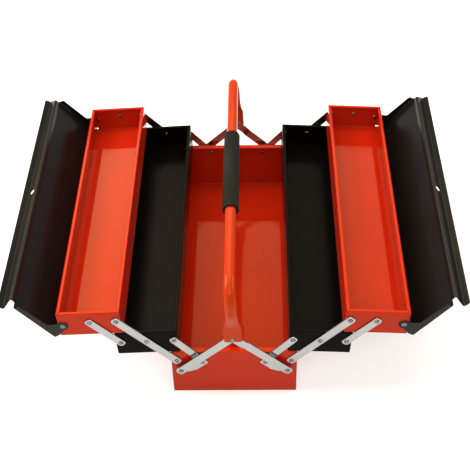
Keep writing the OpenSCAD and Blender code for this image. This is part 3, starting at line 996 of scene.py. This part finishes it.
def lid_sheet(p):
    """The lid's panel, bead, ridge and lip, in one folded sheet with the padlock's hole."""
    path = with_stations(folded_path(lid_section(), p.lid_bend / MM))
    faces = (path, outer_face(path, p.sheet / MM))
    bm = bmesh.new()
    rows = [[ring(bm, [(q.x, part * lid_end_at(q, HALF_LENGTH + SKIRT_LO), q.y) for q in face])
             for face in faces] for part in (-1, -0.985, 0.985, 1)]
    for low, high in zip(rows, rows[1:]):
        for face in (0, 1):
            skin(bm, (low[face], high[face]), around=False)
        for k in (0, -1):
            bm.faces.new((low[0][k], high[0][k], high[1][k], low[1][k]))
    for row in (rows[0], rows[-1]):
        skin(bm, row, around=False)
    bmesh.ops.recalc_face_normals(bm, faces=bm.faces[:])
    cutter = bmesh.new()
    on_ridge = in_end_plane(RIDGE_FOOT, 90 - angle_of(RIDGE_TOP - RIDGE_FOOT))
    across = shift(0, 0, PADLOCK_HEIGHT) @ spin(90, "Y")
    add_rod(cutter, on_ridge @ across, p.padlock / MM / 2, 10, 40)
    return carved(bm, cutter), path


def lid_skirt(bm, edge):
    """The lid's end plate, down to the ear that turns on the hinge rivet."""
    heel_x, cut = PANEL_END + 1.3, 1.2
    outline = [Vector(q) for q in (
        (LID_FRONT, 16.7), (LID_FRONT, on_panel(LID_FRONT)[1] - cut), on_panel(LID_FRONT - cut),
        on_panel(heel_x))]
    outline += corner_arc((heel_x, 36), (heel_x, 27.6), (-22, 18.7), 4, 6)
    outline += corner_arc((-66, 26.6), (-14, 17.3), (-EAR_RADIUS - 1.5, 4), 5, 6)
    outline += arc_points((0, 0), EAR_RADIUS, 160, 385, 26)
    plate(bm, outline, SKIRT_LO, SKIRT_HI, edge)


def edge_roll(bm, path, radius, facets=16):
    """The rounded fold between the lid's sheet and its end plate."""
    y = -HALF_LENGTH - SKIRT_LO
    rings = []
    for q, a, b in directions(path):
        n = right_of((a + b).normalized())
        rings.append(ring(bm, [(q.x + n.x * radius * c, y - radius * s, q.y + n.y * radius * c)
                               for c, s in around(facets)]))
    skin(bm, rings)
    cap(bm, rings)


class TOOLBOX_OT_lids(Operator):
    """Folds the two black lids with their ridges, end plates and hinge ears"""
    bl_idname = "toolbox.lids"
    bl_label = "Lids"

    def execute(self, context):
        p = context.scene.toolbox_sheet_metal
        bm, path = lid_sheet(p)
        ends = bmesh.new()
        lid_skirt(ends, 0.2)
        edge_roll(ends, [q for q in path if q.x > PANEL_END - 0.5], 0.98 * p.sheet / MM)
        bmesh.ops.recalc_face_normals(ends, faces=ends.faces[:])
        add_copy(bm, ends)
        ends.transform(Matrix.Diagonal((1, -1, 1, 1)))
        bmesh.ops.reverse_faces(ends, faces=ends.faces[:])
        add_copy(bm, ends)
        ends.free()
        bm.transform(ON_LID)
        for side, sx in SIDES.items():
            finished("lid " + side, bm, side + "_lid", "lid_" + side,
                     sprayed("lid"), (sx, 1))
        return {"FINISHED"}


def at_both_ends(name, bm, side, body, direction):
    """The same punched piece at the front and at the rear of one side."""
    sx = SIDES[side]
    for end, back in BACKS.items():
        full = "%s %s %s" % (name, end, side)
        finished(full, bm, side + body, full.replace(" ", "_"), zinc_strip(direction * sx),
                 (sx, -back), sharp=30)


def at_four_corners(name, bm, body, direction):
    for side in SIDES:
        at_both_ends(name, bm, side, body, direction)


def link_plate(matrix, outline, edge, lo=LINK_LO, hi=LINK_HI):
    bm = bmesh.new()
    plate(bm, [placed(matrix, p.x, p.y) for p in outline], lo, hi, edge)
    bmesh.ops.recalc_face_normals(bm, faces=bm.faces[:])
    return bm


class TOOLBOX_OT_long_links(Operator):
    """Punches the four long links from the base to the top trays"""
    bl_idname = "toolbox.long_links"
    bl_label = "Long Links"

    def execute(self, context):
        p = context.scene.toolbox_linkage
        outline = strip_outline(2 * LINK_REACH, p.long_width / MM)
        bm = link_plate(in_end_plane(BASE_LINK, -OPEN_ANGLE), outline, p.edge / MM)
        at_four_corners("long link", bm, "_long_links", OPEN_ANGLE)
        return {"FINISHED"}


class TOOLBOX_OT_outer_links(Operator):
    """Punches the four outer links between the middle and top trays"""
    bl_idname = "toolbox.outer_links"
    bl_label = "Outer Links"

    def execute(self, context):
        p = context.scene.toolbox_linkage
        outline = strip_outline(LINK_REACH, p.short_width / MM)
        place = ON_MID_TRAY @ in_end_plane((OUTER_PITCH, 0), -OPEN_ANGLE - DROOP)
        bm = link_plate(place, outline, p.edge / MM)
        at_four_corners("outer link", bm, "_outer_links", OPEN_ANGLE)
        return {"FINISHED"}


# Where the cranks and the right handle arms step out along their legs, the rounded foot of the
# crank's short leg, and the arms' notch
CRANK_STEP, ARM_STEP = (16.2, 19.2), (-30, -22)
CRANK_FOOT = 6.6
NOTCH_RADIUS, NOTCH_ANGLE = 4.0, 62


def crank_outline(width):
    """A long leg to the middle tray and a short leg to the handle arm, with a rounded belly."""
    up, reach = CRANK_ANGLE, (CRANK_END - CRANK_PIVOT).length
    h, r = width / 2, width * 0.45
    heel, bulge, belly = turned((-h, h), up), Vector((8.4, -17.4)), Vector((21, -22.4))
    outline = [turned(p, up) for p in arc_points((reach + h - r, h - r), r, 0, 90, 7)]
    outline += corner_arc(turned((9, h), up), heel, bulge, 1.2, 4)
    outline += corner_arc(heel, bulge, belly, 3, 6)
    outline += [belly]
    outline += arc_points(ARM_FOOT - CRANK_PIVOT, CRANK_FOOT, -100, 56, 14)
    outline += [turned((12, -h), up)]
    outline += [turned(p, up) for p in arc_points((reach + h - r, r - h), r, -90, 0, 7)[:-1]]
    return outline


class TOOLBOX_OT_cranks(Operator):
    """Punches and joggles the four cranks that the handle arms push"""
    bl_idname = "toolbox.cranks"
    bl_label = "Cranks"

    def execute(self, context):
        p = context.scene.toolbox_linkage
        outline = [q + CRANK_PIVOT for q in crank_outline(p.short_width / MM)]
        bm = link_plate(Matrix.Identity(4), outline, p.edge / MM, HUB_LO, HUB_HI)
        step_out(bm, CRANK_PIVOT, CRANK_ANGLE, *CRANK_STEP, LINK_LO - HUB_LO)
        at_four_corners("crank", bm, "_cranks", CRANK_ANGLE)
        return {"FINISHED"}


def arm_outline(width, reach):
    """A strip whose far end has a notch, open on one side, for the handle's rivet."""
    r, h = width * 0.4, width / 2
    centre, corner = Vector((reach, 0)), Vector((reach + h - r, h - r))
    way = polar(1, NOTCH_ANGLE)
    across = right_of(way)

    def leaves(start):
        """Where a line along the notch crosses the upper edge, or the rounded corner beyond it."""
        q = start + way * ((h - start.y) / way.y)
        if q.x <= corner.x:
            return q
        b = (start - corner).dot(way)
        return start + way * (-b + math.sqrt(b * b - (start - corner).length_squared + r * r))

    out_near = leaves(centre + across * NOTCH_RADIUS)
    out_far = leaves(centre - across * NOTCH_RADIUS)
    lower = arc_points((corner.x, r - h), r, -90, 0, 7)
    upper = arc_points(corner, r, 0, 90, 7)
    if out_near.x > corner.x:
        limit = angle_of(out_near - corner) - 2
        upper = [q for q in upper if angle_of(q - corner) < limit]
    inside = arc_points(centre, NOTCH_RADIUS, angle_of(across), angle_of(across) - 180, 12)
    outline = lower + upper + [out_near] + inside + [out_far]
    outline += arc_points((r - h, h - r), r, 90, 180, 7)
    return outline + arc_points((r - h, r - h), r, 180, 270, 7)


class TOOLBOX_OT_handle_arms(Operator):
    """Punches the four handle arms; the right pair is joggled to pass over the left"""
    bl_idname = "toolbox.handle_arms"
    bl_label = "Handle Arms"

    def execute(self, context):
        p = context.scene.toolbox_linkage
        way = HANDLE_PIVOT - ARM_FOOT
        reach, up = way.length, angle_of(way)
        outline = arm_outline(p.arm_width / MM, reach)
        for side in SIDES:
            bm = link_plate(in_end_plane(ARM_FOOT, -up), outline, p.edge / MM, ARM_LO, ARM_HI)
            if side == "right":
                step_out(bm, ARM_FOOT, up, *(reach + s for s in ARM_STEP), TONGUE_LO - ARM_LO)
            at_both_ends("handle arm", bm, side, "_handle_arms", up)
            bm.free()
        return {"FINISHED"}


Rivet = namedtuple("Rivet", "at start stop radius tail head", defaults=(True, True))


def rivet_group(name, node, body, sides, rivets):
    """Rivets as edges from tail to head, at both ends of the box."""
    bm = bmesh.new()
    outward = bm.verts.layers.float_vector.new("outward")
    kind = bm.verts.layers.int.new("kind")
    thick = bm.verts.layers.float.new("thick")
    for sx in sides:
        for back in (-1, 1):
            for one in rivets:
                ends, (x, z) = [], one.at
                marks = TAIL if one.tail else BARE, HEAD if one.head else BARE
                for d, mark in zip((one.start, one.stop), marks):
                    v = bm.verts.new((sx * x * MM, back * (HALF_LENGTH + d) * MM, z * MM))
                    v[outward], v[kind], v[thick] = (0, back, 0), mark, one.radius
                    ends.append(v)
                bm.edges.new(ends)
    mesh = bpy.data.meshes.new(name)
    bm.to_mesh(mesh)
    bm.free()
    p, material = bpy.context.scene.toolbox_linkage, rivet_finish()
    made = grown(mesh, bpy.data.node_groups.get("Rivets") or rivet_tree(), {
        "Head Radius": p.head, "Head Height": p.head_height, "Facets": p.facets,
        "Material": material})
    finished(name, made, body, node, material, sharp=40, scale=1.0)
    bpy.data.meshes.remove(made)


class TOOLBOX_OT_rivets(Operator):
    """Sets every rivet of the box: shank, domed head and flat tail"""
    bl_idname = "toolbox.rivets"
    bl_label = "Rivets"

    def execute(self, context):
        shank, head = context.scene.toolbox_linkage.shank, context.scene.toolbox_linkage.head
        wall, seat = -context.scene.toolbox_sheet_metal.sheet / MM, LINK_HI + SEAT

        def row(tray, places, z=0.0, stop=seat):
            return [Rivet(placed(tray, x, z), wall, stop, shank) for x in places]

        for name, body, sides, at, start, stop in (
                ("base link rivets", "base", (1, -1), BASE_LINK, wall, seat),
                ("base crank rivets", "base", (1, -1), CRANK_PIVOT, wall, HUB_HI + SEAT),
                ("handle rivets", "handle_rivets", (1,), HANDLE_PIVOT, ARM_LO - SEAT, PADDLE_HI)):
            rivet_group(name, name.replace(" ", "_"), body, sides, [Rivet(at, start, stop, shank)])
        crank_arm = [Rivet(ARM_FOOT, HUB_LO, ARM_HI + SEAT, shank, tail=False),
                     Rivet(ARM_FOOT, HUB_HI, ARM_LO - SEAT, head, tail=False, head=False)]
        for side, sx in SIDES.items():
            for name, node, body, rivets in (
                    ("middle tray rivets ", "mid_tray_rivets_", "_mid_tray",
                     row(ON_MID_TRAY, (-CRANK_PITCH, 0, OUTER_PITCH))),
                    ("top tray rivets ", "top_tray_rivets_", "_top_tray",
                     row(ON_TOP_TRAY, (0, OUTER_PITCH))),
                    ("lid hinge rivets ", "lid_hinge_rivets_", "_top_tray",
                     row(ON_TOP_TRAY, (2 * PITCH,), LID_PIVOT_Z - TRAY_PIVOT_Z, SKIRT_HI + SEAT)),
                    ("crank arm rivets ", "crank_arm_rivets_", "_cranks", crank_arm)):
                rivet_group(name + side, node + side, side + body, (sx,), rivets)
        return {"FINISHED"}


# How far a spacer stands out round a rivet's head, its play round the shank and its broken edge
SPACER_STAND_OUT, SPACER_PLAY, SPACER_EDGE = 0.8, 0.05, 0.3


class TOOLBOX_OT_spacers(Operator):
    """Turns the four spacers between the base and the cranks"""
    bl_idname = "toolbox.spacers"
    bl_label = "Crank Spacers"

    def execute(self, context):
        p = context.scene.toolbox_linkage
        outer, inner = p.head / MM + SPACER_STAND_OUT, p.shank / MM + SPACER_PLAY
        lo, hi, e = 0.0, HUB_LO - SEAT, SPACER_EDGE
        profile = [(inner, lo), (inner + e, lo), (outer - e, lo), (outer, lo + e), (outer, hi - e),
                   (outer - e, hi), (inner + e, hi), (inner, hi - e)]
        whole = bmesh.new()
        for sx in (1, -1):
            at = (sx * CRANK_PIVOT.x, CRANK_PIVOT.y)
            for back in (-1, 1):
                one = turned_piece(profile, at, 36, origin_y=back * HALF_LENGTH, outwards=back)
                add_copy(whole, one)
                one.free()
        finished("crank spacers", whole, "base", "crank_spacers", rivet_finish())
        whole.free()
        return {"FINISHED"}


# The tube's end corners and facets. Stations of its centre line: millimetres from its end, then
# shares of the flat's height, then how many along the flare
TUBE_CORNER, TUBE_FACETS = 2.0, 44
END_STATIONS = (0, 0.15, 0.4, 0.8, 1.3, 2.0)
FLAT_STATIONS = (0.12, 0.3, 0.5, 0.7, 0.85, 0.93, 0.97, 0.995)
FLARE_STATIONS = 24


def pressed_levels(p):
    """Heights of the tube's end, of the top of its flat and of the top of its flare."""
    end = PADDLE_END * MM
    flat_top = end + p.flat_height - 0.001
    return end, flat_top, flat_top + p.flare


def handle_line(p):
    """The tube's centre line, from one pressed end up, over and down to the other."""
    leg, top = HANDLE_Y * MM, p.bar - p.bend
    end, flat_top, flare_top = pressed_levels(p)
    half = [(-leg, end + s * MM) for s in END_STATIONS]
    half += [(-leg, end + (flat_top - end) * s) for s in FLAT_STATIONS]
    half += [(-leg, flat_top + p.flare * i / FLARE_STATIONS) for i in range(1, FLARE_STATIONS)]
    half += [(-leg, flare_top - 0.0002), (-leg, flare_top + 0.002), (-leg, top - 0.002)]
    bend = [math.radians(a) for a in range(0, 91, 5)]
    half += [(-leg + p.bend * (1 - math.cos(a)), top + p.bend * math.sin(a)) for a in bend]
    half += [(-leg + p.bend + 0.002, p.bar), (-0.1, p.bar), (-0.02, p.bar)]
    return [(0, y, z) for y, z in half] + [(0, -y, z) for y, z in reversed(half)]


class TOOLBOX_OT_handle_tube(Operator):
    """Bends the handle tube and presses its two ends flat"""
    bl_idname = "toolbox.handle_tube"
    bl_label = "Handle Tube"

    def execute(self, context):
        p = context.scene.toolbox_handle
        points = handle_line(p)
        mesh = bpy.data.meshes.new("centre line")
        mesh.from_pydata(points, [(i, i + 1) for i in range(len(points) - 1)], [])
        end, flat_top, flare_top = pressed_levels(p)
        made = grown(mesh, tube_tree(), {
            "Tube Diameter": p.tube, "Leg Distance": HANDLE_Y * MM, "End": end,
            "Flat Top": flat_top, "Flare Top": flare_top, "Flat Width": p.flat_width,
            "Flat Thickness": p.flat_thickness, "Bar Height": p.bar, "Bend Radius": p.bend,
            "Leg Width": p.leg_width, "Corner": TUBE_CORNER * MM,
            "Lean": -math.radians(LEAN_ANGLE), "Lean Height": HANDLE_PIVOT.y * MM,
            "Facets": TUBE_FACETS, "Material": sprayed("handle")})
        finished("handle tube", made, "handle", "handle_tube", sprayed("handle"),
                 sharp=50, scale=1.0)
        bpy.data.meshes.remove(made)
        return {"FINISHED"}


class TOOLBOX_OT_handle_grip(Operator):
    """Moulds the foam sleeve round the middle of the handle"""
    bl_idname = "toolbox.handle_grip"
    bl_label = "Handle Grip"

    def execute(self, context):
        p = context.scene.toolbox_handle
        outer, half, bore = p.grip / MM / 2, p.grip_length / MM / 2, p.tube / MM / 2 + 0.05
        shoulder, margin, swells, swell, stations = 1.8, 2.4, 7, 0.05, 46
        profile = [(bore, -half + 3.0), (bore + 0.3, -half + 1.6), (bore + 1.0, -half + 0.4)]
        for a in (math.radians(15 * i) for i in range(7)):
            profile.append((outer - shoulder + shoulder * math.sin(a),
                            -half + shoulder - shoulder * math.cos(a)))
        end = profile[:]
        for i in range(1, stations):
            wave = 1 - math.cos(2 * math.pi * i / stations * swells)
            d = (-half + margin) + (2 * half - 2 * margin) * i / stations
            profile.append((outer - swell * wave, d))
        profile += [(r, -d) for r, d in reversed(end)]
        bm = turned_piece(profile, (0, p.bar / MM), 56, origin_y=0.0, outwards=1)
        bm.transform(ON_HANDLE)
        foam = kept("foam sleeve", foam_sleeve, context.scene.toolbox_finish.foam)
        finished("handle grip", bm, "handle", "handle_grip", foam, sharp=60)
        bm.free()
        return {"FINISHED"}


# ---- Stage
WARM, AMBER = (1.0, 0.90, 0.74), (1.0, 0.81, 0.50)
MIDDLE = (0, 0, 0.1)
FLOOR_DROP = 0.0004
# Each soft light: the power that it takes, its share of it, width and height, place and tint
SOFT_LIGHTS = {
    "overhead": ("overhead", 1.0, (1.8, 1.4), (0.1, 0.3, 1.9), WARM),
    "left side": ("side", 1.0, (1.2, 1.4), (-1.8, 0.1, 1.7), WARM),
    "rear left": ("rear", 0.30, (0.95, 1.1), (-0.9, 2.1, 2.36), AMBER),
    "rear": ("rear", 0.62, (2.45, 1.0), (0.03, 2.3, 2.42), AMBER),
    "front": ("front", 1.0, (2.2, 1.2), (0.2, -2.0, 2.0), WARM),
}
# Where the narrow lights stand at each side, in y and z
STRIP_LIGHTS = ((0.64, 0.95), (-0.15, 0.75))
CAMERA_PLACE = (0.0387705, -1.3254028, 1.3656792)
CAMERA_YAW, CAMERA_PITCH, CAMERA_ROLL = (math.radians(a) for a in (-1.7098, -43.5644, -1.6008))


def soft_light(name, watts, size, at, towards=MIDDLE, tint=(1, 1, 1)):
    data = bpy.data.lights.new(name, "AREA")
    data.shape, data.size, data.size_y, data.energy, data.color = "RECTANGLE", *size, watts, tint
    lamp = linked(name, data)
    lamp.location = at
    lamp.rotation_euler = (Vector(towards) - Vector(at)).to_track_quat("-Z", "Y").to_euler()


def camera_turn():
    """The camera's axes, from its yaw and pitch, then its roll."""
    yaw, pitch, roll = CAMERA_YAW, CAMERA_PITCH, CAMERA_ROLL
    level_share = math.cos(pitch)
    ahead = Vector((math.sin(yaw) * level_share, math.cos(yaw) * level_share, math.sin(pitch)))
    level = Vector((math.cos(yaw), -math.sin(yaw), 0))
    above = level.cross(ahead)
    right = level * math.cos(roll) + above * math.sin(roll)
    up = above * math.cos(roll) - level * math.sin(roll)
    return Matrix((right, up, -ahead)).transposed().to_4x4()


class TOOLBOX_OT_stage(Operator):
    """Sets out the pale floor, the soft lights and the camera"""
    bl_idname = "toolbox.stage"
    bl_label = "Stage"

    def execute(self, context):
        scene, p = context.scene, context.scene.toolbox_studio
        bm = bmesh.new()
        bmesh.ops.create_circle(bm, cap_ends=True, segments=96, radius=6.0)
        floor = as_object(bm, "floor")
        floor.data.transform(shift(0, 0, -FLOOR_DROP))
        floor.data.materials.append(kept("studio floor", studio_floor, p.floor))

        world = bpy.data.worlds.new("studio surround")
        world.use_nodes = True
        background = world.node_tree.nodes["Background"].inputs
        background["Color"].default_value = (1, 1, 1, 1)
        background["Strength"].default_value = p.surround
        scene.world = world

        for name, (source, share, size, at, tint) in SOFT_LIGHTS.items():
            soft_light(name, getattr(p, source) * share, size, at, tint=tint)
        for side in (-1, 1):
            for y, z in STRIP_LIGHTS:
                soft_light("strip", p.strip, (0.75, 0.22), (side * 1.9, y, z), (0, y, 0.23))

        camera = bpy.data.cameras.new("camera")
        camera.lens, camera.sensor_width, camera.sensor_fit = p.lens, 36.0, "HORIZONTAL"
        camera.clip_start, camera.clip_end = 0.05, 50.0
        scene.camera = linked("camera", camera)
        scene.camera.matrix_world = shift(*CAMERA_PLACE) @ camera_turn()
        scene.view_settings.view_transform = "Standard"
        scene.view_settings.look = "None"
        return {"FINISHED"}


class TOOLBOX_PT_panel(Panel):
    """Lists the sizes, the finishes and the pieces"""
    bl_idname = "TOOLBOX_PT_panel"
    bl_label = "Tool Box"
    bl_space_type = "VIEW_3D"
    bl_region_type = "UI"
    bl_category = "Tool Box"

    def draw(self, context):
        for name in GROUPS:
            group, box = getattr(context.scene, name), self.layout.box()
            box.label(text=name.replace("toolbox_", "").replace("_", " ").title())
            for prop in group.bl_rna.properties.keys():
                if prop not in {"rna_type", "name"}:
                    box.prop(group, prop)
        column = self.layout.column(align=True)
        for operator in PIECES:
            column.operator(operator.bl_idname)


GROUPS = {
    "toolbox_sheet_metal": TOOLBOX_PG_sheet_metal,
    "toolbox_linkage": TOOLBOX_PG_linkage,
    "toolbox_handle": TOOLBOX_PG_handle,
    "toolbox_finish": TOOLBOX_PG_finish,
    "toolbox_studio": TOOLBOX_PG_studio,
}
PIECES = (
    TOOLBOX_OT_base_tray, TOOLBOX_OT_middle_trays, TOOLBOX_OT_top_trays, TOOLBOX_OT_lids,
    TOOLBOX_OT_long_links, TOOLBOX_OT_outer_links, TOOLBOX_OT_cranks, TOOLBOX_OT_handle_arms,
    TOOLBOX_OT_spacers, TOOLBOX_OT_rivets, TOOLBOX_OT_handle_tube, TOOLBOX_OT_handle_grip,
    TOOLBOX_OT_stage,
)


def register():
    for group in GROUPS.values():
        bpy.utils.register_class(group)
    for name, group in GROUPS.items():
        setattr(bpy.types.Scene, name, PointerProperty(type=group))
    for operator in PIECES:
        bpy.utils.register_class(operator)
    bpy.utils.register_class(TOOLBOX_PT_panel)


def unregister():
    bpy.utils.unregister_class(TOOLBOX_PT_panel)
    for operator in reversed(PIECES):
        bpy.utils.unregister_class(operator)
    for name in GROUPS:
        delattr(bpy.types.Scene, name)
    for group in reversed(tuple(GROUPS.values())):
        bpy.utils.unregister_class(group)


def main():
    register()
    for operator in PIECES:
        family, name = operator.bl_idname.split(".")
        getattr(getattr(bpy.ops, family), name)()


if __name__ == "__main__":
    main()
